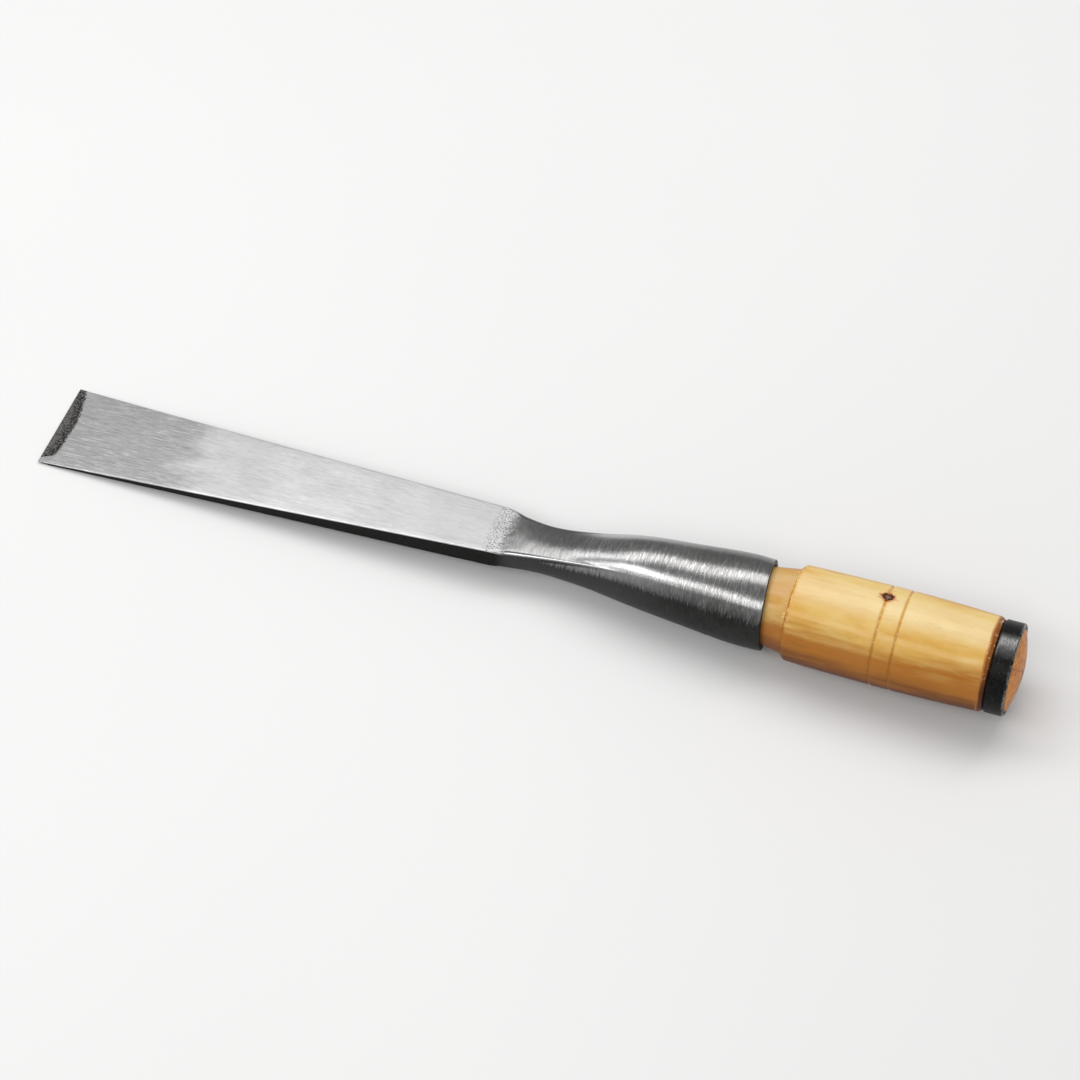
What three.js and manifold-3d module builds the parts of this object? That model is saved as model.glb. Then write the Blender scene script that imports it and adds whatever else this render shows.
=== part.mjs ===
// A forged socket chisel, lying flat face up on a bench.
// Three separate pieces: the forged blade with its hollow socket, the turned
// wooden handle whose tapered tenon is driven into the socket, and the steel
// hoop round the struck end of the handle.
//
// Millimetres, +Z up. The tool is drawn in its own frame first: +X runs along
// the socket's axis from the cutting edge to the struck end, and z = 0 is that
// axis. It is then tipped so that it rests on the heel of its bevel and on the
// belly of its handle, with the origin under the middle of its bounding box.

import * as THREE from 'three';
import { mergeVertices } from 'three/addons/utils/BufferGeometryUtils.js';
import Module from 'manifold-3d';

const { lerp } = THREE.MathUtils;

// The blade. A name that ends in _AT is a distance from the cutting edge.
const EDGE_WIDTH = 36;
const EDGE_THICKNESS = 0.2;
const EDGE_DROP = 4.4;          // how far the flat face lies below the axis at the edge
const BEVEL_LENGTH = 4;
const BEVEL_HEEL_THICKNESS = 1.25;
const BLADE_END_AT = 173;       // where the ground flat face ends
const NECK_WIDTH = 20.4;
const NECK_THICKNESS = 8.8;
const NECK_RISE = 2.7;          // how far the flat face lies above the axis at the neck

// The neck is narrowest at its waist and almost round where it meets the socket.
const WAIST = { at: 189, width: 17.6, top: 3.6, bottom: -7.5, roundness: 0.42 };
const SHANK = { at: 205, width: 20, top: 7.6, bottom: -10, roundness: 0.8 };

// The socket: a hollow cone that swells a little before its open end.
const SOCKET_ROOT = { at: 221, radius: 12.4 };
const SOCKET_MIDDLE = { at: 241.5, radius: 14.4 };
const SOCKET_SWELL = { at: 262, radius: 16.1 };
const SOCKET_MOUTH = { at: 270, radius: 15.8 };
const CAVITY_END_AT = 208;
const CAVITY_END_RADIUS = 5.4;
const CAVITY_MOUTH_RADIUS = 14;

// The handle.
const GAP = 0.3;                // clearance between pieces that touch
const TENON_END_AT = 212;       // the tenon stops short of the hollow's bottom
const SHOULDER_AT = 278;        // step between the collar and the grip
const COLLAR_RADIUS = 15;
const SHOULDER_RADIUS = 16.4;
const SHOULDER_ROUND = 0.6;
const GRIP_START_RADIUS = 16.8;
const BELLY_RADIUS = 17.3;      // largest radius of the barrel-shaped grip
const GRIP_END_AT = 346.8;
const GRIP_END_RADIUS = 16.5;
const GRIP_END_ROUND = 0.9;
const GROOVES_AT = [309.3, 316.2];
const GROOVE_WIDTH = 1.2;
const GROOVE_DEPTH = 0.5;
const DOME_HEIGHT = 2.8;        // how far the end grain stands out of the hoop

// The hoop.
const HOOP_AT = 348.6;
const HOOP_WIDTH = 6.9;
const HOOP_RADIUS = 16.1;
const HOOP_WALL = 1.6;
const HOOP_CHAMFER = 0.4;

// How finely the curves are divided.
const AROUND = 48;
const BLADE_STEPS = 8;
const NECK_STEPS = 22;
const GRIP_STEPS = 10;
const DOME_STEPS = 6;

const wasm = await Module();
wasm.setup();

const steel = new THREE.MeshStandardMaterial({ color: 0x8b8d90, roughness: 0.35, metalness: 1 });
const wood = new THREE.MeshStandardMaterial({ color: 0xdcb267, roughness: 0.25, metalness: 0 });
const blackSteel = new THREE.MeshStandardMaterial({ color: 0x2b2a2c, roughness: 0.45, metalness: 1 });

// A solid for cutting, from a closed three.js geometry.
function toSolid(geometry) {
  const bare = geometry.clone();
  bare.deleteAttribute('normal');
  bare.deleteAttribute('uv');
  const welded = mergeVertices(bare);
  const mesh = new wasm.Mesh({
    numProp: 3,
    vertProperties: new Float32Array(welded.attributes.position.array),
    triVerts: new Uint32Array(welded.index.array),
  });
  return new wasm.Manifold(mesh);
}

function toGeometry(solid) {
  const mesh = solid.getMesh();
  const geometry = new THREE.BufferGeometry();
  geometry.setAttribute('position', new THREE.BufferAttribute(mesh.vertProperties, 3));
  geometry.setIndex(new THREE.BufferAttribute(mesh.triVerts, 1));
  geometry.computeVertexNormals();
  return geometry;
}

function namedMesh(name, geometry, material) {
  const mesh = new THREE.Mesh(geometry, material);
  mesh.name = name;
  return mesh;
}

// A turned solid round the tool's axis, from [along, radius] pairs.
function turned(outline) {
  const profile = outline.map(([along, radius]) => new THREE.Vector2(radius, along));
  const geometry = new THREE.LatheGeometry(profile, AROUND);
  geometry.rotateZ(-Math.PI / 2);
  return geometry;
}

// Height of the flat face along the blade, and the blade's thickness under it.
function faceHeight(along) {
  return lerp(-EDGE_DROP, NECK_RISE, along / BLADE_END_AT);
}

function bladeThickness(along) {
  if (along < BEVEL_LENGTH) return lerp(EDGE_THICKNESS, BEVEL_HEEL_THICKNESS, along / BEVEL_LENGTH);
  const part = (along - BEVEL_LENGTH) / (BLADE_END_AT - BEVEL_LENGTH);
  return lerp(BEVEL_HEEL_THICKNESS, NECK_THICKNESS, part);
}

// One section of the forging as [half its width, its top, its bottom, roundness],
// where roundness goes from 0 for a rectangle to 1 for an ellipse.
function bladeSection(along) {
  const halfWidth = lerp(EDGE_WIDTH, NECK_WIDTH, along / BLADE_END_AT) / 2;
  const top = faceHeight(along);
  return [halfWidth, top, top - bladeThickness(along), 0];
}

function neckSection({ width, top, bottom, roundness }) {
  return [width / 2, top, bottom, roundness];
}

function socketSection({ radius }) {
  return [radius, radius, -radius, 1];
}

// The smooth run of sections from the end of the blade to the socket's mouth.
function neckAndSocketCurve() {
  const sockets = [SOCKET_ROOT, SOCKET_MIDDLE, SOCKET_SWELL, SOCKET_MOUTH];
  const places = [BLADE_END_AT, WAIST.at, SHANK.at, ...sockets.map(({ at }) => at)];
  const sections = [
    bladeSection(BLADE_END_AT),
    neckSection(WAIST),
    neckSection(SHANK),
    ...sockets.map(socketSection),
  ];
  const valuesEach = sections[0].length;
  return new THREE.CubicInterpolant(places, sections.flat(), valuesEach, new Array(valuesEach));
}

// Where the forging's sections stand, from the cutting edge to the mouth.
function stations() {
  const places = [0];
  for (let step = 0; step <= BLADE_STEPS; step += 1) {
    places.push(lerp(BEVEL_LENGTH, BLADE_END_AT, step / BLADE_STEPS));
  }
  for (let step = 1; step <= NECK_STEPS; step += 1) {
    places.push(lerp(BLADE_END_AT, SOCKET_MOUTH.at, step / NECK_STEPS));
  }
  return places;
}

// The outside of the forging: a closed cylinder whose rings are moved to the
// stations and reshaped from a unit circle into each station's section.
function forgingBody() {
  const places = stations();
  const curve = neckAndSocketCurve();
  const rings = places.length - 1;
  const geometry = new THREE.CylinderGeometry(1, 1, 1, AROUND, rings);
  const points = geometry.attributes.position;
  for (let i = 0; i < points.count; i += 1) {
    const along = places[Math.round((points.getY(i) + 0.5) * rings)];
    const section = along <= BLADE_END_AT ? bladeSection(along) : curve.evaluate(along);
    const [halfWidth, top, bottom, roundness] = section;
    const across = points.getZ(i);
    const up = points.getX(i);
    const squareness = Math.max(Math.abs(across), Math.abs(up)) || 1;
    const reach = lerp(1 / squareness, 1, roundness);
    const height = (top + bottom) / 2 + up * reach * (top - bottom) / 2;
    points.setXYZ(i, along, across * reach * halfWidth, height);
  }
  return geometry;
}

function cavityRadius(along) {
  const part = (along - CAVITY_END_AT) / (SOCKET_MOUTH.at - CAVITY_END_AT);
  return lerp(CAVITY_END_RADIUS, CAVITY_MOUTH_RADIUS, part);
}

function forging() {
  const past = SOCKET_MOUTH.at + 2;
  const hollow = turned([
    [CAVITY_END_AT, 0],
    [CAVITY_END_AT, CAVITY_END_RADIUS],
    [past, cavityRadius(past)],
    [past, 0],
  ]);
  return toGeometry(toSolid(forgingBody()).subtract(toSolid(hollow)));
}

// The grip is a shallow barrel, fullest halfway along.
function gripRadius(along) {
  const middle = (SHOULDER_AT + GRIP_END_AT) / 2;
  const reach = (along - middle) / (GRIP_END_AT - middle);
  const end = reach < 0 ? GRIP_START_RADIUS : GRIP_END_RADIUS;
  return lerp(BELLY_RADIUS, end, reach * reach);
}

function gripOutline() {
  const outline = [];
  for (let step = 0; step <= GRIP_STEPS; step += 1) {
    const along = lerp(SHOULDER_AT + 2 * SHOULDER_ROUND, GRIP_END_AT, step / GRIP_STEPS);
    outline.push([along, gripRadius(along)]);
  }
  GROOVES_AT.forEach((groove) => {
    outline.push([groove - GROOVE_WIDTH / 2, gripRadius(groove)]);
    outline.push([groove, gripRadius(groove) - GROOVE_DEPTH]);
    outline.push([groove + GROOVE_WIDTH / 2, gripRadius(groove)]);
  });
  return outline.sort((a, b) => a[0] - b[0]);
}

// The struck end: a shallow cap from the hoop's rim to the axis.
function domeOutline(seatRadius) {
  const rim = HOOP_AT + HOOP_WIDTH;
  const outline = [];
  for (let step = 0; step <= DOME_STEPS; step += 1) {
    const part = 1 - step / DOME_STEPS;
    outline.push([rim + DOME_HEIGHT * (1 - part * part), seatRadius * part]);
  }
  return outline;
}

function handleOutline() {
  const seatRadius = HOOP_RADIUS - HOOP_WALL - GAP;
  return [
    [TENON_END_AT, 0],
    [TENON_END_AT, cavityRadius(TENON_END_AT) - GAP],
    [SOCKET_MOUTH.at, CAVITY_MOUTH_RADIUS - GAP],
    [SHOULDER_AT, COLLAR_RADIUS],
    [SHOULDER_AT, SHOULDER_RADIUS - SHOULDER_ROUND],
    [SHOULDER_AT + SHOULDER_ROUND, SHOULDER_RADIUS],
    ...gripOutline(),
    [HOOP_AT - GAP, GRIP_END_RADIUS - GRIP_END_ROUND],
    [HOOP_AT - GAP, seatRadius],
    ...domeOutline(seatRadius),
  ];
}

function hoop() {
  const inner = HOOP_RADIUS - HOOP_WALL;
  const far = HOOP_AT + HOOP_WIDTH;
  return turned([
    [HOOP_AT, inner],
    [HOOP_AT, HOOP_RADIUS - HOOP_CHAMFER],
    [HOOP_AT + HOOP_CHAMFER, HOOP_RADIUS],
    [far - HOOP_CHAMFER, HOOP_RADIUS],
    [far, HOOP_RADIUS - HOOP_CHAMFER],
    [far, inner],
    [HOOP_AT, inner],
  ]);
}

// The slope of the line that touches the bevel's heel and the belly of the grip.
function restingTilt(outline) {
  const heelDepth = BEVEL_HEEL_THICKNESS - faceHeight(BEVEL_LENGTH);
  const slopes = outline.map(([along, radius]) => (radius - heelDepth) / (along - BEVEL_LENGTH));
  return Math.atan(Math.max(...slopes));
}

const outline = handleOutline();
const tool = new THREE.Group();
tool.add(namedMesh('forged_blade_and_socket', forging(), steel));
tool.add(namedMesh('turned_handle', turned(outline), wood));
tool.add(namedMesh('striking_hoop', hoop(), blackSteel));
tool.rotation.y = -restingTilt(outline);

const bounds = new THREE.Box3().setFromObject(tool, true);
const middle = bounds.getCenter(new THREE.Vector3());
tool.position.set(-middle.x, -middle.y, -bounds.min.z);

const chisel = new THREE.Group();
chisel.add(tool);

export default chisel;
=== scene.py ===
"""A forged socket chisel: bright ground face, dark neck and socket, lacquered handle, black hoop.

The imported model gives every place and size. Each piece is drawn again with a finer surface in
the tool's own axes: x along the tool from the cutting edge, y across the blade, z out of its flat
face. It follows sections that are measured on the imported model, and then goes back into the row
frame.
"""

import math

import bpy
import numpy as np
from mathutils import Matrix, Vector, noise


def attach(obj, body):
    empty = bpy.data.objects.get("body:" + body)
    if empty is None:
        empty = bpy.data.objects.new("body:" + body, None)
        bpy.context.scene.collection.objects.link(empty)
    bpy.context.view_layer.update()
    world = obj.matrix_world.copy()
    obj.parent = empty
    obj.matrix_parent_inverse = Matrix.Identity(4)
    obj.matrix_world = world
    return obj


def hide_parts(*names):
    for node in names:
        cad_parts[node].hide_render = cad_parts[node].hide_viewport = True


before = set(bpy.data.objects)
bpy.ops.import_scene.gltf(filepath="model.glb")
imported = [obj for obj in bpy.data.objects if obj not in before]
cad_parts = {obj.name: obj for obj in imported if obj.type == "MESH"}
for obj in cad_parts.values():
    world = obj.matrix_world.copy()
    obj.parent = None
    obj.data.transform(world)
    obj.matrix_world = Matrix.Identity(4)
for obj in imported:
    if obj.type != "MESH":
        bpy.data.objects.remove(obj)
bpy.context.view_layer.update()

MM = 0.001
FORGING = "forged_blade_and_socket"
HANDLE = "turned_handle"
HOOP = "striking_hoop"
SAME_STATION = 0.05     # points closer than this along the tool stand in one section
ROUNDED = 0.02          # more than the rounding of a measured place
NARROWER = 0.8          # the hollow's bottom is narrower than this part of the sections beside it
SQUARE = 0.01           # a section less round than this is a plain rectangle, as on the blade

# The camera stands at the viewing angle of the photograph.
VIEW_ELEVATION = 52.84
VIEW_AZIMUTH = 20.04
VIEW_DISTANCE = 1.101
VIEW_LENS = 103.9
VIEW_SENSOR = 36.0
VIEW_TARGET = Vector((0.0027, 0.0112, 0.0))


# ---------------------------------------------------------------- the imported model, measured


def node_points(node):
    """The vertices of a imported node, one row each, in metres in the row frame."""
    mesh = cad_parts[node].data
    flat = np.zeros(len(mesh.vertices) * 3)
    mesh.vertices.foreach_get("co", flat)
    return flat.reshape(-1, 3)


class ToolAxes:
    """The tool's own axes. Lengths in them are millimetres."""

    def __init__(self):
        hoop = node_points(HOOP)
        centre = hoop.mean(axis=0)
        along = np.linalg.svd(hoop - centre, full_matrices=False)[2][-1]
        along *= np.sign(along[0])
        across = np.array([0.0, 1.0, 0.0])
        self.basis = np.array([along, across, np.cross(along, across)])
        self.origin = centre
        edge = self.inward(node_points(FORGING))[:, 0].min()
        self.origin = centre + edge * MM * along

    def inward(self, points):
        return (points - self.origin) @ self.basis.T / MM

    def outward(self, points):
        return self.origin + (np.asarray(points) * MM) @ self.basis


axes = ToolAxes()


def stations_of(node):
    """The node's vertices grouped by their place along the tool: {x: [[y, z], ...]}."""
    points = axes.inward(node_points(node))
    points = points[np.argsort(points[:, 0])]
    starts = np.flatnonzero(np.diff(points[:, 0]) > SAME_STATION) + 1
    groups = np.split(points, starts)
    return {round(float(group[:, 0].mean()), 2): group[:, 1:] for group in groups}


def turned_outline(node):
    """The outline of a turned node as (x, radius) pairs in order along the tool."""
    left = []
    for x, ring in stations_of(node).items():
        for radius in sorted({round(float(r), 1) for r in np.hypot(ring[:, 0], ring[:, 1])}):
            left.append((x, radius))
    walk = [left.pop(0)]
    while left:
        nearest = min(left, key=lambda p: (p[0], abs(p[1] - walk[-1][1])))
        left.remove(nearest)
        walk.append(nearest)
    return walk


def section_at(x, ring):
    """One station of the forging as (x, half width, top, bottom, roundness)."""
    half = np.abs(ring[:, 0]).max()
    top, bottom = ring[:, 1].max(), ring[:, 1].min()
    middle, rise = (top + bottom) / 2, (top - bottom) / 2
    corner = (np.abs(ring[:, 0]) / half + np.abs(ring[:, 1] - middle) / rise).max()
    roundness = (2 - corner) / (2 - math.sqrt(2))
    return x, half, top, bottom, min(max(roundness, 0), 1)


def forging_stations():
    """The forging's outer sections, and the bottom of its hollow as (x, radius)."""
    stations = list(stations_of(FORGING).items())
    widths = [np.abs(ring[:, 0]).max() for _, ring in stations]
    outer = []
    hollow_end = None
    for i, (x, ring) in enumerate(stations):
        between = 0 < i < len(stations) - 1
        if between and widths[i] < NARROWER * min(widths[i - 1], widths[i + 1]):
            hollow_end = (x, widths[i])
        else:
            outer.append(section_at(x, ring))
    return np.array(outer), hollow_end


SECTIONS, HOLLOW_END = forging_stations()
MOUTH_AT = SECTIONS[-1, 0]
MOUTH_RADIUS = SECTIONS[-1, 1]
HOLLOW_RADIUS = float(np.hypot(*stations_of(FORGING)[MOUTH_AT].T).min())
FACE_END_AT = float(SECTIONS[SECTIONS[:, 4] < SQUARE][-1, 0])
BLADE_HALF_WIDTH = SECTIONS[0, 1]
BEVEL_END_AT = float(SECTIONS[1, 0])
HANDLE_OUTLINE = turned_outline(HANDLE)
HOOP_OUTLINE = turned_outline(HOOP)
HOOP_START = HOOP_OUTLINE[0][0]
HOOP_END = HOOP_OUTLINE[-1][0]
HOOP_INNER = HOOP_OUTLINE[0][1]
HOOP_OUTER = max(radius for _, radius in HOOP_OUTLINE)


# ---------------------------------------------------------------- surfaces


def smoothstep(low, high, value):
    """0 at low and 1 at high, with an even curve between. Low may be the greater of the two."""
    part = np.clip((np.asarray(value, float) - low) / (high - low), 0, 1)
    return part * part * (3 - 2 * part)


def blur(values, step, reach):
    """The rows of values, evenly spaced by step, smoothed over a distance of reach."""
    half = max(1, int(3 * reach / step))
    weights = np.exp(-0.5 * (np.arange(-half, half + 1) * step / reach) ** 2)
    weights /= weights.sum()
    before = 2 * values[0] - values[half:0:-1]
    after = 2 * values[-1] - values[-2:-half - 2:-1]
    padded = np.concatenate([before, values, after])
    smooth = [np.convolve(padded[:, c], weights, mode="valid") for c in range(values.shape[1])]
    return np.stack(smooth, axis=1)


def lumps(points, size, seed=0.0):
    """Smooth noise from -1 to 1 at each point, with lumps about size millimetres across."""
    shape = points.shape[:-1]
    rows = points.reshape(-1, 3) / size + seed
    values = [noise.noise(Vector(row)) for row in rows]
    return np.array(values).reshape(shape)


def grid_normals(grid):
    """Unit normals of a grid of rings, pointing away from each ring's middle."""
    down = np.gradient(grid, axis=0)
    round_ = np.roll(grid, -1, axis=1) - np.roll(grid, 1, axis=1)
    normals = np.cross(down, round_)
    normals /= np.linalg.norm(normals, axis=2, keepdims=True) + 1e-12
    outward = grid - grid.mean(axis=1, keepdims=True)
    flip = np.sign((normals * outward).sum(axis=(1, 2)))
    return normals * np.where(flip == 0, 1, flip)[:, None, None]


class Skin:
    """A closed surface through rings of points, in the tool's axes.

    With poles it is closed by a fan at each end. Without them the last ring joins the first.
    """

    def __init__(self, name, grid, poles=()):
        self.name = name
        self.grid = grid
        self.rings, self.around = grid.shape[:2]
        self.poles = list(poles)
        self.values = {}

    def quad(self, ring, place):
        after = (ring + 1) % self.rings
        beside = (place + 1) % self.around
        corners = [(ring, place), (ring, beside), (after, beside), (after, place)]
        return [i * self.around + j for i, j in corners]

    def faces(self):
        bands = self.rings - 1 if self.poles else self.rings
        faces = [self.quad(i, j) for i in range(bands) for j in range(self.around)]
        if self.poles:
            first = self.rings * self.around
            end = first - self.around
            for j in range(self.around):
                beside = (j + 1) % self.around
                faces.append([first, beside, j])
                faces.append([first + 1, end + j, end + beside])
        return faces

    def build(self, material):
        ends = [np.array([pole]) for pole in self.poles]
        points = np.concatenate([self.grid.reshape(-1, 3)] + ends)
        mesh = bpy.data.meshes.new(self.name)
        mesh.from_pydata(axes.outward(points).tolist(), [], self.faces())
        mesh.materials.append(material)
        places = mesh.attributes.new("tool", "FLOAT_VECTOR", "POINT")
        places.data.foreach_set("vector", points.astype(np.float32).ravel())
        for name, values in self.values.items():
            padded = np.concatenate([np.ravel(values), [0] * len(self.poles)]).astype(np.float32)
            mesh.attributes.new(name, "FLOAT", "POINT").data.foreach_set("value", padded)
        mesh.polygons.foreach_set("use_smooth", [True] * len(mesh.polygons))
        piece = bpy.data.objects.new(self.name, mesh)
        bpy.context.scene.collection.objects.link(piece)
        return piece


# ---------------------------------------------------------------- materials


class Graph:
    """Short hand for the nodes of one material."""

    def __init__(self, name):
        self.material = bpy.data.materials.new(name)
        self.material.use_nodes = True
        self.tree = self.material.node_tree
        self.tree.nodes.clear()

    def node(self, kind, inputs=None, **settings):
        made = self.tree.nodes.new("ShaderNode" + kind)
        for key, value in settings.items():
            setattr(made, key, value)
        for key, value in (inputs or {}).items():
            self.feed(made.inputs[key], value)
        return made

    def feed(self, socket, value):
        if isinstance(value, bpy.types.NodeSocket):
            self.tree.links.new(value, socket)
        else:
            socket.default_value = value

    def attribute(self, name, output="Fac"):
        return self.node("Attribute", attribute_name=name).outputs[output]

    def place(self, stretch=(1, 1, 1), shift=(0, 0, 0)):
        """The point in the tool's axes, in millimetres, times stretch, plus shift."""
        point = self.attribute("tool", "Vector")
        scaled = self.vector("MULTIPLY", point, stretch)
        return self.vector("ADD", scaled, shift)

    def vector(self, operation, a, b):
        return self.node("VectorMath", {0: a, 1: b}, operation=operation).outputs[0]

    def axis(self, name):
        return self.node("SeparateXYZ", {0: self.attribute("tool", "Vector")}).outputs[name]

    def noise(self, place, scale, detail=2.0, roughness=0.5):
        inputs = {"Vector": place, "Scale": scale, "Detail": detail, "Roughness": roughness}
        return self.node("TexNoise", inputs).outputs["Fac"]

    def ramp(self, value, low, high, low_out=0.0, high_out=1.0, smooth=True):
        kind = "SMOOTHSTEP" if smooth else "LINEAR"
        inputs = {"Value": value, "From Min": low, "From Max": high}
        inputs.update({"To Min": low_out, "To Max": high_out})
        return self.node("MapRange", inputs, interpolation_type=kind).outputs[0]

    def math(self, operation, a, b):
        return self.node("Math", {0: a, 1: b}, operation=operation).outputs[0]

    def add(self, *values):
        total = values[0]
        for value in values[1:]:
            total = self.math("ADD", total, value)
        return total

    def times(self, *values):
        total = values[0]
        for value in values[1:]:
            total = self.math("MULTIPLY", total, value)
        return total

    def either(self, a, b):
        return self.math("MAXIMUM", a, b)

    def colour(self, part, first, second):
        made = self.node("Mix", data_type="RGBA")
        self.feed(made.inputs[0], part)
        self.feed(made.inputs[6], first)
        self.feed(made.inputs[7], second)
        return made.outputs[2]

    def number(self, part, first, second):
        made = self.node("Mix", {0: part, 2: first, 3: second}, data_type="FLOAT")
        return made.outputs[0]

    def bump(self, height):
        """A bump from a height in millimetres."""
        return self.node("Bump", {"Height": height, "Distance": MM, "Strength": 1.0}).outputs[0]

    def finish(self, **sockets):
        """Ends the graph in a Principled shader, with its sockets named in words."""
        shader = self.node("BsdfPrincipled")
        for name, value in sockets.items():
            self.feed(shader.inputs[name.replace("_", " ")], value)
        out = self.node("OutputMaterial")
        self.tree.links.new(shader.outputs[0], out.inputs[0])
        return self.material


def grey(value, warmth=0.0):
    return (value * (1 + warmth), value, value * (1 - warmth), 1.0)


def ground_face(g, along):
    """The ground flat face: its colour, its roughness and its height in millimetres."""
    fine = g.noise(g.place((0.045, 1.0, 0.2)), 3.2, 5, 0.8)
    coarse = g.noise(g.place((0.05, 1.0, 0.2), (0, 3.0, 0)), 0.9, 3, 0.6)
    patch = g.noise(g.place((0.5, 0.8, 0.2)), 0.12, 4, 0.6)
    slant = g.noise(g.place((0.16, 1.0, 0.2), (7.0, 0, 0)), 1.7, 3, 0.55)
    scuffs = g.noise(g.place((0.2, 1.0, 0.2), (0, 5.0, 0)), 1.1, 4, 0.75)

    # The edge was hardened, and it stayed greyer under the grinding as far as that went.
    hard = g.ramp(g.add(along, g.ramp(patch, 0.3, 0.7, -5, 5, smooth=False)), 45, 62, 1, 0)
    tone = g.colour(g.ramp(patch, 0.3, 0.7), grey(0.54), grey(0.63, 0.003))
    tone = g.colour(g.times(hard, 0.9), tone, grey(0.37))
    strong = g.ramp(hard, 0, 1, 0.45, 0.8)
    tone = g.colour(g.times(strong, g.ramp(fine, 0.50, 0.68)), tone, grey(0.78))
    tone = g.colour(g.times(strong, g.ramp(fine, 0.50, 0.32)), tone, grey(0.22))
    tone = g.colour(g.ramp(coarse, 0.45, 0.25, 0, 0.18), tone, grey(0.30))
    tone = g.colour(g.ramp(scuffs, 0.60, 0.70, 0, 0.35), tone, grey(0.90))
    tone = g.colour(g.ramp(along, 0.55 * FACE_END_AT, FACE_END_AT, 0, 0.45), tone, grey(0.34))
    rough = g.number(hard, g.ramp(fine, 0.3, 0.7, 0.32, 0.40), 0.36)
    height = g.add(g.times(fine, 0.008), g.times(coarse, 0.006), g.times(slant, hard, 0.014))
    return tone, rough, height


def forged_skin(g, along):
    """The forged surface: black scale and painted shade on sides and belly, bare and ground
    crosswise on top.
    """
    rings = g.noise(g.place((1.0, 0.10, 0.10)), 2.6, 5, 0.8)
    bands = g.noise(g.place((1.0, 0.25, 0.25), (0, 4.0, 0)), 0.75, 3, 0.6)
    cloud = g.noise(g.place(), 0.10, 4, 0.6)
    grain = g.noise(g.place(), 1.6, 4, 0.7)
    sparkle = g.noise(g.place((1.0, 0.22, 0.22), (0, 0, 2.0)), 2.2, 4, 0.85)

    up = g.attribute("up")
    upward = g.add(up, g.ramp(rings, 0.3, 0.7, -0.10, 0.10, smooth=False))
    neck = g.ramp(along, FACE_END_AT - 1, FACE_END_AT + 5)
    # Forge scale with painted shade: where the surface faces down it stays black, and only the
    # upper neck and socket are bare.
    bare = g.either(g.times(neck, g.ramp(upward, 0.36, 0.70)), g.times(neck, 0.10))
    tone = g.colour(g.ramp(cloud, 0.3, 0.7), grey(0.18, 0.02), grey(0.24, 0.01))
    tone = g.colour(g.ramp(rings, 0.50, 0.70, 0, 0.7), tone, grey(0.55))
    tone = g.colour(g.ramp(rings, 0.50, 0.30, 0, 0.5), tone, grey(0.085))
    tone = g.colour(g.ramp(bands, 0.5, 0.3, 0, 0.4), tone, grey(0.085, 0.02))
    tone = g.colour(g.ramp(g.axis("Y"), 0, 9, 0, 0.5), tone, grey(0.085, 0.02))

    # The neck's rounded edges carry a painted highlight, and its flat top a painted shade.
    near_neck = g.ramp(along, FACE_END_AT + 75, FACE_END_AT + 40)
    rounded = g.ramp(up, 0.96, 0.84, 0.02, 0.60)
    tone = g.colour(g.times(near_neck, rounded), tone, grey(0.60))
    painted_facet_shade = g.times(g.ramp(up, 0.82, 0.93), g.ramp(along, FACE_END_AT + 40, FACE_END_AT + 12))
    tone = g.colour(g.times(painted_facet_shade, 0.65), tone, grey(0.165, 0.01))

    black = g.colour(g.ramp(grain, 0.35, 0.7), grey(0.004, 0.08), grey(0.015, 0.06))
    tone = g.colour(bare, black, tone)
    rough = g.number(bare, 0.48, g.ramp(sparkle, 0.3, 0.7, 0.14, 0.27))
    ridges = g.add(g.times(rings, 0.026), g.times(bands, 0.020), g.times(sparkle, 0.026))
    height = g.add(ridges, g.times(grain, g.ramp(bare, 0, 1, 0.08, 0.008)))
    return tone, rough, height


def forged_steel():
    """The forging's steel, with scale left beside the edge and pits where the grinding ends."""
    g = Graph("forged_steel")
    along = g.axis("X")
    tone, rough, height = forged_skin(g, along)
    bright, smooth, scratches = ground_face(g, along)

    # The grinding runs out over the neck in a broken, pitted line.
    ragged = g.noise(g.place((0.6, 1.0, 1.0), (0, 0, 5.0)), 0.5, 5, 0.7)
    past = g.add(along, g.ramp(ragged, 0.25, 0.75, -1.8, 1.8, smooth=False))
    pits = g.noise(g.place((0.8, 1.0, 1.0), (9.0, 0, 0)), 1.9, 3, 0.6)
    near = g.ramp(along, FACE_END_AT - 7, FACE_END_AT - 2)
    specks = g.times(g.ramp(pits, 0.55, 0.62), near)
    ground = g.times(g.attribute("face"), g.ramp(past, FACE_END_AT + 4.0, FACE_END_AT - 0.5))
    bright = g.colour(g.times(specks, 0.85), bright, grey(0.06))
    tone = g.colour(ground, tone, bright)
    rough = g.number(ground, rough, smooth)
    height = g.number(ground, height, g.add(scratches, g.times(specks, -0.05)))

    # Forge scale in the shallow dip beside the edge, which the grinding missed.
    crumble = g.noise(g.place(), 1.1, 5, 0.75)
    lip = g.add(g.attribute("lip"), g.ramp(crumble, 0.3, 0.7, -0.9, 0.9, smooth=False))
    scale = g.times(g.ramp(lip, -0.1, 0.7), g.attribute("face"))
    grit = g.noise(g.place(shift=(4.0, 0, 0)), 1.4, 3, 0.7)
    holes = g.times(g.ramp(grit, 0.47, 0.53), g.ramp(lip, 4.2, 1.6, 0.25, 1.0))
    scale_tone = g.colour(g.ramp(crumble, 0.40, 0.60), grey(0.040, 0.06), grey(0.17, 0.05))
    scale_tone = g.colour(holes, scale_tone, grey(0.005, 0.1))
    tone = g.colour(scale, tone, scale_tone)
    rough = g.number(scale, rough, 0.55)
    height = g.add(height, g.times(scale, g.add(g.times(crumble, 0.12), g.times(holes, -0.12))))
    metal = g.ramp(scale, 0, 1, 0.95, 0.6)
    return g.finish(Base_Color=tone, Metallic=metal, Roughness=rough, Normal=g.bump(height))
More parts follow.
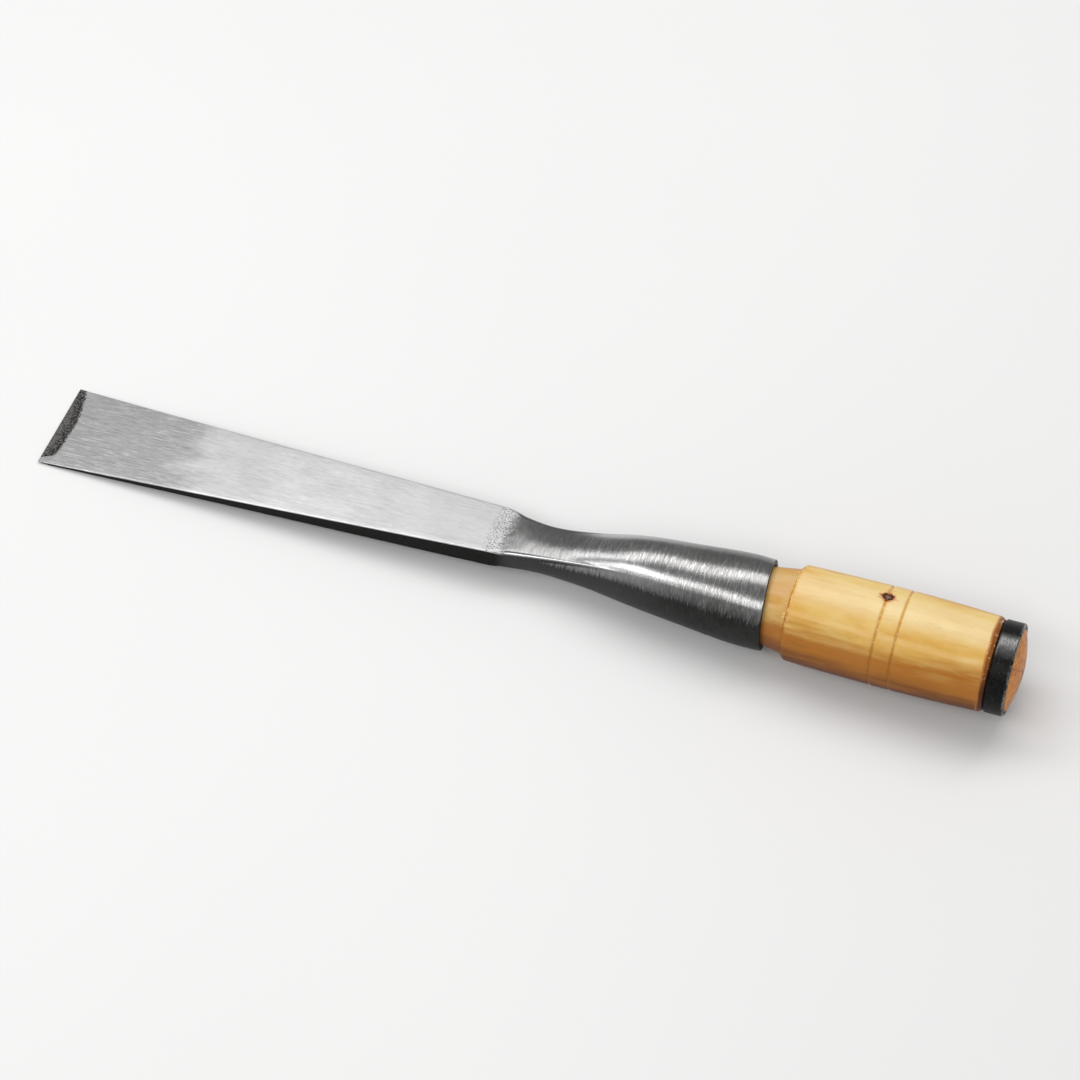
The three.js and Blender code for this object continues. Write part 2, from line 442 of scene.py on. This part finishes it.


# Colours of the wood, of what lies on it, and of the painted highlight, shade and glints on it.
HONEY = (0.66, 0.38, 0.085, 1)
PALE_YELLOW = (0.74, 0.53, 0.19, 1)
PAINTED_HIGHLIGHT_CREAM = (0.80, 0.65, 0.38, 1)
AMBER = (0.68, 0.34, 0.065, 1)
BROWN_LINE = (0.55, 0.23, 0.035, 1)
FINE_LINE = (0.58, 0.27, 0.05, 1)
SHADED_ORANGE_SIDE = (0.40, 0.135, 0.008, 1)
PAINTED_SHADE_BELLY = (0.11, 0.027, 0.002, 1)
DARK_SPECK = (0.20, 0.06, 0.015, 1)
END_ORANGE = (0.70, 0.27, 0.040, 1)
END_RUST = (0.48, 0.145, 0.015, 1)
END_RAY = (0.33, 0.075, 0.015, 1)
END_CRACK = (0.16, 0.03, 0.010, 1)
GROOVE_LACQUER = (0.42, 0.15, 0.012, 1)
COLLAR_BROWN = (0.34, 0.13, 0.03, 1)
KNOT_STAIN = (0.50, 0.16, 0.02, 1)
KNOT_HALO = (0.46, 0.13, 0.015, 1)
KNOT_RING = (0.045, 0.010, 0.006, 1)
KNOT_HEART = (0.26, 0.12, 0.07, 1)
REAR_LACQUER = (0.42, 0.14, 0.015, 1)
REAR_TOP = (0.25, 0.075, 0.008, 1)
REAR_PAINTED_SHADE = (0.07, 0.015, 0.004, 1)
PAINTED_GLINT = (0.95, 0.80, 0.55, 1)


def wood_grain(g):
    """Colour of the turned wood, and the fine grain that also roughens it."""
    bend = g.noise(g.place((0.03, 0.12, 0.12), (2.0, 0, 0)), 1.0, 2, 0.5)
    warp = g.node("CombineXYZ", {"Y": g.ramp(bend, 0.3, 0.7, -1.5, 1.5)}).outputs[0]
    warped = g.vector("ADD", g.place((0.08, 1.0, 1.0)), warp)
    streaks = g.noise(warped, 0.26, 4, 0.55)
    lines = g.noise(warped, 0.9, 4, 0.6)
    fine = g.noise(g.place((0.06, 1.0, 1.0), (3.0, 0, 0)), 2.4, 4, 0.65)
    cloud = g.noise(g.place((0.5, 1.0, 1.0), (0, 6.0, 0)), 0.09, 4, 0.55)

    tone = g.colour(g.ramp(cloud, 0.35, 0.65), HONEY, PALE_YELLOW)
    # Painted highlight: pale cream where the surface faces straight up.
    tone = g.colour(g.ramp(g.attribute("up"), 0.88, 0.99, 0, 0.55), tone, PAINTED_HIGHLIGHT_CREAM)
    tone = g.colour(g.ramp(streaks, 0.48, 0.72, 0, 0.42), tone, AMBER)
    tone = g.colour(g.ramp(lines, 0.58, 0.74, 0, 0.32), tone, BROWN_LINE)
    tone = g.colour(g.ramp(fine, 0.46, 0.28, 0, 0.16), tone, FINE_LINE)
    # Painted shade: orange down the sides and dark brown under the belly, by how far the surface
    # faces up.
    upward = g.add(g.attribute("up"), g.ramp(streaks, 0.3, 0.7, 0.20, -0.20, smooth=False))
    tone = g.colour(g.ramp(upward, 0.86, 0.32, 0, 0.94), tone, SHADED_ORANGE_SIDE)
    tone = g.colour(g.ramp(upward, 0.34, -0.35, 0, 0.94), tone, PAINTED_SHADE_BELLY)
    specks = g.noise(g.place((0.4, 1.0, 1.0), (0, 0, 4.0)), 0.9, 3, 0.75)
    tone = g.colour(g.ramp(specks, 0.70, 0.76, 0, 0.8), tone, DARK_SPECK)
    return tone, fine


def end_grain(g):
    """Colour of the struck end: orange, with reddish rays and a few dark cracks from the heart."""
    mottle = g.noise(g.place((0.3, 1, 1)), 0.5, 4, 0.6)
    turn = g.node("CombineXYZ", {"X": g.attribute("turn")}).outputs[0]
    rays = g.ramp(g.noise(turn, 2.6, 4, 0.7), 0.52, 0.66, 0, 0.7)
    tone = g.colour(g.ramp(mottle, 0.35, 0.65), END_ORANGE, END_RUST)
    tone = g.colour(rays, tone, END_RAY)
    return g.colour(g.attribute("crack"), tone, END_CRACK)


def lacquered_wood():
    """Pale yellow wood under clear lacquer, which ran dark into the grooves and the rear rim."""
    g = Graph("lacquered_wood")
    tone, fine = wood_grain(g)
    groove = g.ramp(g.attribute("groove"), 0.15, 0.45)
    tone = g.colour(g.times(groove, 0.65), tone, GROOVE_LACQUER)
    tone = g.colour(g.times(g.attribute("collar"), 0.32), tone, COLLAR_BROWN)

    # The knot: a dark ring round a paler heart, in a reddish halo that runs on round the wood.
    ragged = g.noise(g.place(shift=(0, 5.0, 0)), 0.8, 4, 0.7)
    knot = g.add(g.attribute("knot"), g.ramp(ragged, 0.25, 0.75, -0.22, 0.22, smooth=False))
    stain = g.times(g.attribute("stain"), g.ramp(ragged, 0.35, 0.6, 0.35, 0.9))
    tone = g.colour(stain, tone, KNOT_STAIN)
    tone = g.colour(g.ramp(knot, 0.10, 0.45, 0, 0.8), tone, KNOT_HALO)
    tone = g.colour(g.ramp(knot, 0.40, 0.55), tone, KNOT_RING)
    tone = g.colour(g.ramp(knot, 0.72, 0.92, 0, 0.75), tone, KNOT_HEART)

    up = g.attribute("up")
    rear = g.attribute("rear")
    tone = g.colour(g.ramp(rear, 0.0, 0.5, 0, 0.8), tone, REAR_LACQUER)
    # Painted shade: the rear rim's dark lacquer turns darker from its top toward its underside.
    rear_lacquer_and_shade = g.colour(g.ramp(up, 0.75, 0.15), REAR_TOP, REAR_PAINTED_SHADE)
    tone = g.colour(g.ramp(rear, 0.45, 0.9, 0, 0.95), tone, rear_lacquer_and_shade)
    tone = g.colour(g.ramp(g.attribute("end"), 0.3, 0.7), tone, end_grain(g))

    # The lacquer stands in runs and beads. Painted glints: white spots on its thick places where
    # they face the lights.
    runs = g.noise(g.place((0.25, 1.0, 1.0), (0, 0, 8.0)), 0.35, 3, 0.5)
    beads = g.noise(g.place(shift=(0, 2.0, 0)), 1.0, 3, 0.7)
    wet = g.either(groove, g.attribute("wet"))
    lit = g.times(g.ramp(up, 0.40, 0.70), g.ramp(up, 0.98, 0.90))
    glint_spots = g.ramp(g.add(beads, g.times(rear, -0.03)), 0.56, 0.62, 0, 0.85)
    tone = g.colour(g.times(wet, lit, glint_spots), tone, PAINTED_GLINT)
    surface = g.bump(g.times(fine, 0.008))
    lacquer = g.bump(g.add(g.times(runs, 0.015), g.times(beads, wet, 0.8), g.times(beads, 0.006)))
    return g.finish(
        Base_Color=tone,
        Roughness=0.6,
        Specular_IOR_Level=0.12,
        Coat_Weight=0.28,
        Coat_Roughness=0.10,
        Normal=surface,
        Coat_Normal=lacquer,
    )


def black_steel():
    """The hoop: black oxide with a band of painted highlight near its top, worn along its outer
    lip.
    """
    g = Graph("black_steel")
    grain = g.noise(g.place((1.0, 0.35, 0.35)), 2.4, 4, 0.7)
    blotch = g.noise(g.place(), 0.5, 3, 0.6)
    tone = g.colour(g.ramp(grain, 0.35, 0.7), grey(0.005, 0.05), grey(0.018, 0.04))
    tone = g.colour(g.ramp(blotch, 0.55, 0.7, 0, 0.4), tone, grey(0.045, 0.03))
    highlight_band = g.times(g.attribute("highlight_band"), g.ramp(grain, 0.30, 0.60, 0.35, 1.0))
    # Painted highlight: lighter grey in the band near the top.
    tone = g.colour(highlight_band, tone, grey(0.11, 0.01))
    worn = g.times(g.attribute("worn"), g.ramp(g.add(grain, blotch), 0.80, 1.15))
    tone = g.colour(worn, tone, grey(0.20))
    rough = g.number(g.either(worn, highlight_band), g.ramp(grain, 0.3, 0.7, 0.40, 0.52), 0.24)
    height = g.add(g.times(grain, 0.03), g.times(blotch, 0.05))
    return g.finish(Base_Color=tone, Metallic=0.9, Roughness=rough, Normal=g.bump(height))


# ---------------------------------------------------------------- the forging

SIDE_STEPS = 24
CORNER_STEPS = 4
CORNER_SPAN = math.radians(1.5)     # half the turn that a corner takes up on a round section
TOP_CORNER = 0.50       # radius of the arris along the flat face
BOTTOM_CORNER = 0.9     # softer forged arris along the underside
ARRIS_GROWTH = 10       # how many times its own radius an arris gains where the neck begins
THICKEST_CORNER = 0.45  # the most of a section's half height that a corner may take
RIM_ROUND = 0.4         # the rim of the socket, rounded outside
RIM_INNER_ROUND = 0.25  # and inside
RIM_STEPS = 5
RIM_INNER_STEPS = 3
HOLLOW_STEPS = 16
MOUTH_SLANT = 3.0       # how much further the front of the mouth reaches than its back
MOUTH_FORWARD = 0.8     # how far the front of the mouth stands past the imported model's
MOUTH_WAVE = 0.12       # how unevenly the mouth was cut
DENSE_STEP = 0.25       # spacing of the sections that the neck is smoothed on
NECK_SMOOTHING = 2.6    # the reach of that smoothing
FACE_UNEVEN = 0.012     # hammered unevenness of the ground face, at most
BLADE_UNEVEN = 0.10     # and of the blade's sides and underside
NECK_UNEVEN = 0.20      # and of the neck
SOCKET_UNEVEN = 0.09    # and of the socket
RAW_EDGE_DEPTH = 0.16   # depth of the dip beside the cutting edge that the grinding missed
# How far the dip reaches back from the edge, by place across the blade.
RAW_EDGE_ACROSS = [-1.0, -0.88, -0.80, -0.6, -0.2, 0.17, 0.5, 1.0]
RAW_EDGE_REACH = [-0.5, 0.3, 4.3, 5.5, 5.6, 6.1, 5.0, 3.0]
OUTSIDE_DIP = -10       # stands for far outside the dip, on the other sides of the blade


def ring_places():
    """Each point of a section: its side, whether it is on the corner after it, and its place.

    The sides are 0 top, 1 front, 2 bottom and 3 back.
    """
    places = []
    for side in range(4):
        places += [(side, False, step / SIDE_STEPS) for step in range(SIDE_STEPS)]
        places += [(side, True, step / CORNER_STEPS) for step in range(CORNER_STEPS)]
    return places


RING = ring_places()
# The points of the top and of the underside, with the corners at both their ends.
ON_TOP = np.array([side == 0 or (side == 3 and corner) for side, corner, _ in RING])
BELOW = np.array([side == 2 or (side == 1 and corner) for side, corner, _ in RING])
SIDE_NORMALS = np.array([(0, 1), (-1, 0), (0, -1), (1, 0)], float)
SIDE_RUNS = np.array([(-1, 0), (0, -1), (1, 0), (0, 1)], float)


def outline_point(side, corner, part, half, rise, roundness, corners):
    """One point of a section, between a rectangle with rounded corners and an ellipse."""
    normal, run = SIDE_NORMALS[side], SIDE_RUNS[side]
    out, reach = (rise, half) if side % 2 == 0 else (half, rise)
    before, after = corners[side - 1], corners[side]
    limit = math.pi / 4 - CORNER_SPAN
    if corner:
        turn = part * math.pi / 2
        angle = limit + part * 2 * CORNER_SPAN
        box = normal * (out - after + after * math.cos(turn))
        box += run * (reach - after + after * math.sin(turn))
    else:
        angle = (2 * part - 1) * limit
        slide = (math.tan(angle) / math.tan(limit) + 1) / 2
        box = normal * out + run * (-(reach - before) + slide * (2 * reach - before - after))
    oval = normal * out * math.cos(angle) + run * reach * math.sin(angle)
    return box + (oval - box) * roundness


def station_places():
    """Where the fine sections stand: close together at the edge, the neck and the mouth."""
    blade_start = 8
    neck_start = FACE_END_AT - 6
    last = MOUTH_AT - RIM_ROUND
    mouth_start = last - 2
    near_edge = np.arange(0, blade_start, 0.25)
    blade = np.arange(blade_start, neck_start, 1.0)
    neck = np.arange(neck_start, mouth_start, 0.7)
    mouth = np.linspace(mouth_start, last, 7)
    return np.concatenate([near_edge, blade, neck, mouth])


def smooth_sections(places):
    """Half width, top, bottom and roundness at the places, with the neck's curves smoothed."""
    dense = np.arange(0, MOUTH_AT + DENSE_STEP / 2, DENSE_STEP)
    stations = SECTIONS[:, 0]
    plain = np.stack([np.interp(dense, stations, SECTIONS[:, c]) for c in range(1, 5)], axis=1)
    soft = blur(plain, DENSE_STEP, NECK_SMOOTHING)
    part = smoothstep(FACE_END_AT - 8, FACE_END_AT + 4, dense)[:, None]
    mixed = plain + (soft - plain) * part
    return np.stack([np.interp(places, dense, mixed[:, c]) for c in range(4)], axis=1)


def forging_outside(places):
    """The forging's outer surface at the places, as a grid of rings."""
    sections = smooth_sections(places)
    grid = np.zeros((len(places), len(RING), 3))
    for i, (x, (half, top, bottom, roundness)) in enumerate(zip(places, sections)):
        rise = (top - bottom) / 2
        soften = 1 + ARRIS_GROWTH * smoothstep(FACE_END_AT - 3, FACE_END_AT + 16, x)
        upper = min(TOP_CORNER * soften, THICKEST_CORNER * rise)
        lower = min(BOTTOM_CORNER * soften, THICKEST_CORNER * rise)
        corners = (upper, lower, lower, upper)
        for j, (side, corner, part) in enumerate(RING):
            y, z = outline_point(side, corner, part, half, rise, roundness, corners)
            grid[i, j] = (x, y, (top + bottom) / 2 + z)
    return grid


def raw_edge(grid):
    """How far inside the raw dip beside the edge each point is, in millimetres along the blade."""
    across = grid[:, :, 1] / BLADE_HALF_WIDTH
    return np.interp(across, RAW_EDGE_ACROSS, RAW_EDGE_REACH) - grid[:, :, 0]


def roughen_forging(grid):
    """Hammered unevenness, always inward: least on the ground face, most on the neck."""
    x = grid[:, :, 0]
    ground = (1 - smoothstep(FACE_END_AT - 2, FACE_END_AT + 10, x)) * ON_TOP
    on_neck = smoothstep(FACE_END_AT - 20, FACE_END_AT + 5, x)
    on_socket = smoothstep(FACE_END_AT + 25, FACE_END_AT + 60, x)
    forged = BLADE_UNEVEN + (NECK_UNEVEN - BLADE_UNEVEN) * on_neck
    forged += (SOCKET_UNEVEN - NECK_UNEVEN) * on_socket
    forged *= smoothstep(0, 12, x)
    amount = forged * (1 - ground) + FACE_UNEVEN * ground
    broad = 0.5 + 0.5 * lumps(grid, 13.0)
    small = 0.5 + 0.5 * lumps(grid, 4.0, 31.0)
    depth = amount * (0.8 * broad + 0.35 * small)
    return grid - grid_normals(grid) * depth[:, :, None]


def sink_raw_edge(grid):
    """The shallow dip beside the edge, sunk into the flat face."""
    inside = raw_edge(grid)
    top = np.array([side == 0 and not corner for side, corner, _ in RING])
    dip = smoothstep(-0.1, 0.8, inside) * smoothstep(-0.3, 1.5, grid[:, :, 0])
    grit = 0.75 + 0.5 * lumps(grid, 0.9, 11.0)
    grid[:, :, 2] -= RAW_EDGE_DEPTH * dip * grit * top
    return grid


def round_ring(x, radius):
    """A round section with the same points as the others."""
    ring = [outline_point(*place, radius, radius, 1.0, (0, 0, 0, 0)) for place in RING]
    return np.array([(x, y, z) for y, z in ring])


def hollow_radius(x):
    """The radius of the socket's tapered hollow."""
    part = (x - HOLLOW_END[0]) / (MOUTH_AT - HOLLOW_END[0])
    return HOLLOW_END[1] + (HOLLOW_RADIUS - HOLLOW_END[1]) * part


def slant_mouth(grid):
    """The forged mouth is not quite square or even: its front reaches further than its back."""
    x, y = grid[:, :, 0], grid[:, :, 1]
    near = smoothstep(MOUTH_AT - 12, MOUTH_AT, x)
    wave = MOUTH_WAVE * (1 + lumps(grid * np.array([0.0, 1.0, 1.0]), 9.0, 5.0))
    back = MOUTH_SLANT * np.clip(0.5 + 0.5 * y / MOUTH_RADIUS, 0, 1)
    grid[:, :, 0] = x - near * (wave + back - MOUTH_FORWARD)
    return grid


def mouth_rings():
    """The rounded rim of the socket, and then its tapered hollow down to the bottom."""
    rings = []
    for step in range(1, RIM_STEPS + 1):
        turn = step / RIM_STEPS * math.pi / 2
        x = MOUTH_AT - RIM_ROUND * (1 - math.sin(turn))
        rings.append(round_ring(x, MOUTH_RADIUS - RIM_ROUND * (1 - math.cos(turn))))
    for step in range(RIM_INNER_STEPS + 1):
        turn = step / RIM_INNER_STEPS * math.pi / 2
        x = MOUTH_AT - RIM_INNER_ROUND * (1 - math.cos(turn))
        rings.append(round_ring(x, HOLLOW_RADIUS + RIM_INNER_ROUND * (1 - math.sin(turn))))
    for x in np.linspace(MOUTH_AT - 1, HOLLOW_END[0], HOLLOW_STEPS):
        rings.append(round_ring(x, hollow_radius(x)))
    return np.array(rings)


def upness(grid):
    """How far each point's surface faces up, from 1 on the flat face to -1 underneath."""
    return grid_normals(grid)[:, :, 2]


def forging_piece():
    outside = sink_raw_edge(roughen_forging(forging_outside(station_places())))
    grid = np.concatenate([slant_mouth(outside), slant_mouth(mouth_rings())])
    skin = Skin("forged_blade", grid, [grid[0].mean(axis=0), (HOLLOW_END[0], 0, 0)])
    x = grid[:, :, 0]
    flat_face = ON_TOP * (x < FACE_END_AT + 20)
    bevel = BELOW * (x < BEVEL_END_AT + SAME_STATION)
    skin.values = {
        "lip": np.where(ON_TOP, raw_edge(grid), OUTSIDE_DIP),
        "face": flat_face + bevel,
        "up": upness(grid),
    }
    piece = skin.build(forged_steel())
    piece.modifiers.new("even_normals", "WEIGHTED_NORMAL").keep_sharp = True
    return piece


# ---------------------------------------------------------------- turned pieces

TURNED_AROUND = 160
OUTLINE_STEP = 0.3      # spacing of the points on the handle's outline
OUTLINE_ROUND = 0.28    # how far its corners are rounded
HOOP_STEP = 0.2
HOOP_ROUND = 0.16
GRIP_STEP = 2.0
DOME_STEPS = 16
HOOP_GAP = 0.05         # between the wood and the hoop's bore at the struck end
SWELL = 1.5             # over this last length of its seat the wood swells out to the bore
GRIP_UNEVEN = 0.0022    # how much thinner the handle is in places, as a part of its radius
GRIP_THINNEST = 16.45   # the grip is nowhere thinner than this radius
COLLAR_STEP = 1.5       # the collar is thinner than the grip by more than this
SHALLOWEST_GROOVE = 0.3
WET_HALF_LENGTH = 1.1   # thick lacquer along the shoulder

KNOT_TURN = 77.0        # degrees round from the back, so near the top
KNOT_HALF_LENGTH = 2.5
KNOT_HALF_WIDTH = 2.0
STAIN_HALF_LENGTH = 0.9
# Where the knot's stain stops round the wood and where it is full, in half widths of the knot.
STAIN_TO_FRONT = (3.0, 0.5)
STAIN_TO_BACK = (-3.4, -0.5)

HEART = (-1.2, 0.8)     # the heart of the end grain lies off the axis
HEART_RADIUS = 1.3
CRACK_HALF_WIDTH = 0.4
# Cracks that run out from the heart: direction in degrees and length in millimetres.
CRACKS = [(262, 13), (95, 6), (190, 4.5)]

HIGHLIGHT_BAND_TURN = 98.0      # the middle of the hoop's band of painted highlight, degrees round from the back
HIGHLIGHT_BAND_HALF_TURN = 20.0     # degrees from there to where it has gone


def soften_outline(outline, spacing, reach):
    """The outline resampled evenly and rounded over a distance of reach, ends kept."""
    points = np.array(outline, float)
    lengths = np.concatenate([[0], np.cumsum(np.hypot(*np.diff(points, axis=0).T))])
    count = int(lengths[-1] / spacing) + 1
    even = np.linspace(0, lengths[-1], count)
    dense = np.stack([np.interp(even, lengths, points[:, c]) for c in range(2)], axis=1)
    return blur(dense, lengths[-1] / (count - 1), reach)


def revolve(outline):
    """A grid of round rings, one for each point of the outline."""
    angles = np.linspace(0, math.tau, TURNED_AROUND, endpoint=False)
    x, radius = outline[:, 0:1], outline[:, 1:2]
    along = np.broadcast_to(x, (len(outline), TURNED_AROUND))
    return np.stack([along, radius * np.cos(angles), radius * np.sin(angles)], axis=2)


def turn_of(grid):
    """How far round each point lies, in radians: 0 at the back, a quarter turn at the top."""
    return np.arctan2(grid[:, :, 2], grid[:, :, 1])


def grooves_of(outline):
    """The V grooves of the grip as (x, half width, depth)."""
    found = []
    for before, low, after in zip(outline, outline[1:], outline[2:]):
        on_grip = MOUTH_AT + 15 < low[0] < HOOP_START - 10
        if on_grip and low[1] < min(before[1], after[1]) - SHALLOWEST_GROOVE:
            found.append((low[0], (after[0] - before[0]) / 2, (before[1] + after[1]) / 2 - low[1]))
    return found


def outside_grooves(point):
    """Whether a point of the outline is on the grip's own surface and not down in a groove."""
    return all(abs(point[0] - x) > half / 2 for x, half, _ in GROOVES)


BELLY = max(radius for _, radius in HANDLE_OUTLINE)
GROOVES = grooves_of(HANDLE_OUTLINE)
KNOT_AT = GROOVES[0][0]
THICK = [p for p in HANDLE_OUTLINE if p[1] > GRIP_THINNEST and outside_grooves(p)]
GRIP = [p for p in THICK if MOUTH_AT + 10 < p[0] < HOOP_START - 1]
GRIP_START, GRIP_END = GRIP[0][0], GRIP[-1][0]
GRIP_MIDDLE = (GRIP_START + GRIP_END) / 2
GRIP_CURVE = np.polyfit([p[0] - GRIP_MIDDLE for p in GRIP], [p[1] for p in GRIP], 4)
BARE = [p for p in HANDLE_OUTLINE if p[0] > MOUTH_AT + 1]
SHOULDER_AT = next(x for x, radius in BARE if radius > GRIP[0][1] - COLLAR_STEP)
DOME_TIP = HANDLE_OUTLINE[-1][0] - ROUNDED


def grip_radius(x):
    """The radius of the barrel-shaped grip, as if it had no grooves."""
    return np.polyval(GRIP_CURVE, np.asarray(x) - GRIP_MIDDLE)


def groove_depth(x):
    """How deep the grooves are cut at each x."""
    depth = np.zeros_like(np.asarray(x, float))
    for place, half, deep in GROOVES:
        depth = np.maximum(depth, deep * np.clip(1 - np.abs(x - place) / half, 0, 1))
    return depth


def bell(x, place, half_length):
    """1 at the place and fading to 0 on both sides of it."""
    return np.exp(-((x - place) / half_length) ** 2)


def cracks(grid):
    """The dark heart of the end grain and the cracks that run out from it: 1 on them, 0 away."""
    y, z = grid[:, :, 1] - HEART[0], grid[:, :, 2] - HEART[1]
    reach = np.hypot(y, z)
    line = 0.8 * bell(reach, 0, HEART_RADIUS)
    for angle, length in CRACKS:
        across, ahead = math.sin(math.radians(angle)), math.cos(math.radians(angle))
        side = y * across - z * ahead + 0.9 * lumps(grid, 3.0, 23.0)
        forward = y * ahead + z * across
        here = bell(side, 0, CRACK_HALF_WIDTH) * (forward > 0)
        here = here * smoothstep(length, 0.3 * length, reach)
        line = np.maximum(line, 0.9 * here)
    return line * smoothstep(HOOP_END, HOOP_END + 0.3, grid[:, :, 0])


def dome_outline():
    """The struck end: a shallow cap from the hoop's bore to the axis."""
    bore = HOOP_INNER - HOOP_GAP
    rise = DOME_TIP - HOOP_END
    parts = np.linspace(1, 0, DOME_STEPS)
    return [(HOOP_END + rise * (1 - part * part), bore * part) for part in parts]


def handle_outline():
    """The handle's outline from the tenon's end to the dome's tip."""
    hidden = [p for p in HANDLE_OUTLINE if p[0] < MOUTH_AT - 1 and p[1] > 0]
    collar = [p for p in HANDLE_OUTLINE if MOUTH_AT - 1 <= p[0] < GRIP_START]
    grip_places = np.append(np.arange(GRIP_START, GRIP_END, GRIP_STEP), GRIP_END)
    grip = list(zip(grip_places, grip_radius(grip_places)))
    seat = [p for p in HANDLE_OUTLINE if GRIP_END < p[0] < HOOP_START]
    seat.append((HOOP_END - SWELL, seat[-1][1]))
    shown = soften_outline(collar + grip + seat + dome_outline(), OUTLINE_STEP, OUTLINE_ROUND)
    shown[:, 1] -= groove_depth(shown[:, 0])
    return np.concatenate([np.array(hidden), shown])


def handle_masks(grid):
    """Where each look of the wood lies, from 0 to 1. The groove's is its depth in millimetres."""
    x, turn = grid[:, :, 0], turn_of(grid)
    ragged = 0.30 * lumps(grid, 5.0, 17.0)
    spread = (turn - math.radians(KNOT_TURN)) * BELLY / KNOT_HALF_WIDTH
    stain_round = smoothstep(*STAIN_TO_BACK, spread) * smoothstep(*STAIN_TO_FRONT, spread)
    before_hoop = x < HOOP_START + 1
    rear_rim = smoothstep(GRIP_END - 0.8, GRIP_END + 0.2, x) * before_hoop
    return {
        "up": upness(grid),
        "groove": groove_depth(x),
        "rear": smoothstep(GRIP_END - 1.2, GRIP_END + 0.6, x + ragged) * before_hoop,
        "end": smoothstep(HOOP_END - 0.5, HOOP_END + 0.6, x),
        "wet": np.maximum(rear_rim, bell(x, SHOULDER_AT, WET_HALF_LENGTH)),
        "knot": bell(x, KNOT_AT, KNOT_HALF_LENGTH) * bell(spread, 0, 1),
        "stain": bell(x, KNOT_AT, STAIN_HALF_LENGTH) * stain_round,
        "collar": smoothstep(SHOULDER_AT + 0.4, SHOULDER_AT - 0.6, x),
        "turn": np.abs(turn),
        "crack": cracks(grid),
    }


def handle_piece():
    grid = revolve(handle_outline()[:-1])
    lift = lumps(grid * np.array([0.25, 1, 1]), 9.0, 3.0)
    grid[:, :, 1:] *= (1 - GRIP_UNEVEN * (0.5 + 0.5 * lift))[:, :, None]
    skin = Skin("handle", grid, [(HANDLE_OUTLINE[0][0], 0, 0), (DOME_TIP, 0, 0)])
    skin.values = handle_masks(grid)
    return skin.build(lacquered_wood())


def hoop_piece():
    start = (HOOP_START, (HOOP_INNER + HOOP_OUTER) / 2)
    outside = [p for p in HOOP_OUTLINE if p[1] > HOOP_INNER]
    outline = [start] + outside + [(HOOP_END, HOOP_INNER), (HOOP_START, HOOP_INNER), start]
    grid = revolve(soften_outline(outline, HOOP_STEP, HOOP_ROUND)[:-1])
    reach = np.hypot(grid[:, :, 1], grid[:, :, 2])
    rear_lip = smoothstep(1.0, 0.2, HOOP_END - grid[:, :, 0])
    from_band = np.abs(np.degrees(turn_of(grid)) - HIGHLIGHT_BAND_TURN)
    skin = Skin("hoop", grid)
    skin.values = {
        "worn": rear_lip * smoothstep(HOOP_OUTER - 0.9, HOOP_OUTER - 0.3, reach),
        "highlight_band": smoothstep(HIGHLIGHT_BAND_HALF_TURN, 0.4 * HIGHLIGHT_BAND_HALF_TURN, from_band),
    }
    return skin.build(black_steel())


# ---------------------------------------------------------------- stage, light and camera

FLOOR_HALF = 3.0        # metres


def add_floor():
    g = Graph("floor")
    coordinates = g.node("NewGeometry").outputs["Position"]
    tone = g.colour(g.noise(coordinates, 3.0, 2), grey(0.74, 0.004), grey(0.78, 0.004))
    material = g.finish(Base_Color=tone, Roughness=0.85)
    mesh = bpy.data.meshes.new("floor")
    signs = [(-1, -1), (1, -1), (1, 1), (-1, 1)]
    corners = [(x * FLOOR_HALF, y * FLOOR_HALF, 0) for x, y in signs]
    mesh.from_pydata(corners, [], [(0, 1, 2, 3)])
    mesh.materials.append(material)
    floor = bpy.data.objects.new("floor", mesh)
    bpy.context.scene.collection.objects.link(floor)


def add_softbox(name, towards, distance, length, width, power):
    """A long soft light above the tool, seen from it in the given direction."""
    light = bpy.data.lights.new(name, "AREA")
    light.shape = "RECTANGLE"
    light.size = length
    light.size_y = width
    light.energy = power
    lamp = bpy.data.objects.new(name, light)
    direction = Vector(towards).normalized()
    lamp.location = direction * distance
    lamp.rotation_euler = direction.to_track_quat("Z", "Y").to_euler()
    bpy.context.scene.collection.objects.link(lamp)


def add_world(strength):
    world = bpy.data.worlds.new("studio")
    world.use_nodes = True
    background = world.node_tree.nodes["Background"]
    background.inputs["Color"].default_value = (1, 1, 1, 1)
    background.inputs["Strength"].default_value = strength
    bpy.context.scene.world = world


def add_camera():
    azimuth, elevation = math.radians(VIEW_AZIMUTH), math.radians(VIEW_ELEVATION)
    back = Vector((
        math.sin(azimuth) * math.cos(elevation),
        -math.cos(azimuth) * math.cos(elevation),
        math.sin(elevation),
    ))
    data = bpy.data.cameras.new("camera")
    data.lens = VIEW_LENS
    data.sensor_width = VIEW_SENSOR
    camera = bpy.data.objects.new("camera", data)
    camera.location = VIEW_TARGET + back * VIEW_DISTANCE
    camera.rotation_euler = back.to_track_quat("Z", "Y").to_euler()
    bpy.context.scene.collection.objects.link(camera)
    bpy.context.scene.camera = camera


def place_piece(piece, node):
    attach(piece, "root")
    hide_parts(node)


place_piece(forging_piece(), FORGING)
place_piece(handle_piece(), HANDLE)
place_piece(hoop_piece(), HOOP)
add_floor()
add_world(strength=0.46)
add_softbox("back_softbox", (-0.20, 0.36, 0.92), distance=1.1, length=1.8, width=0.42, power=9.0)
add_softbox("front_softbox", (-0.22, -0.60, 0.77), distance=1.2, length=1.4, width=0.28, power=5.6)
add_camera()
bpy.context.scene.view_settings.view_transform = "Standard"
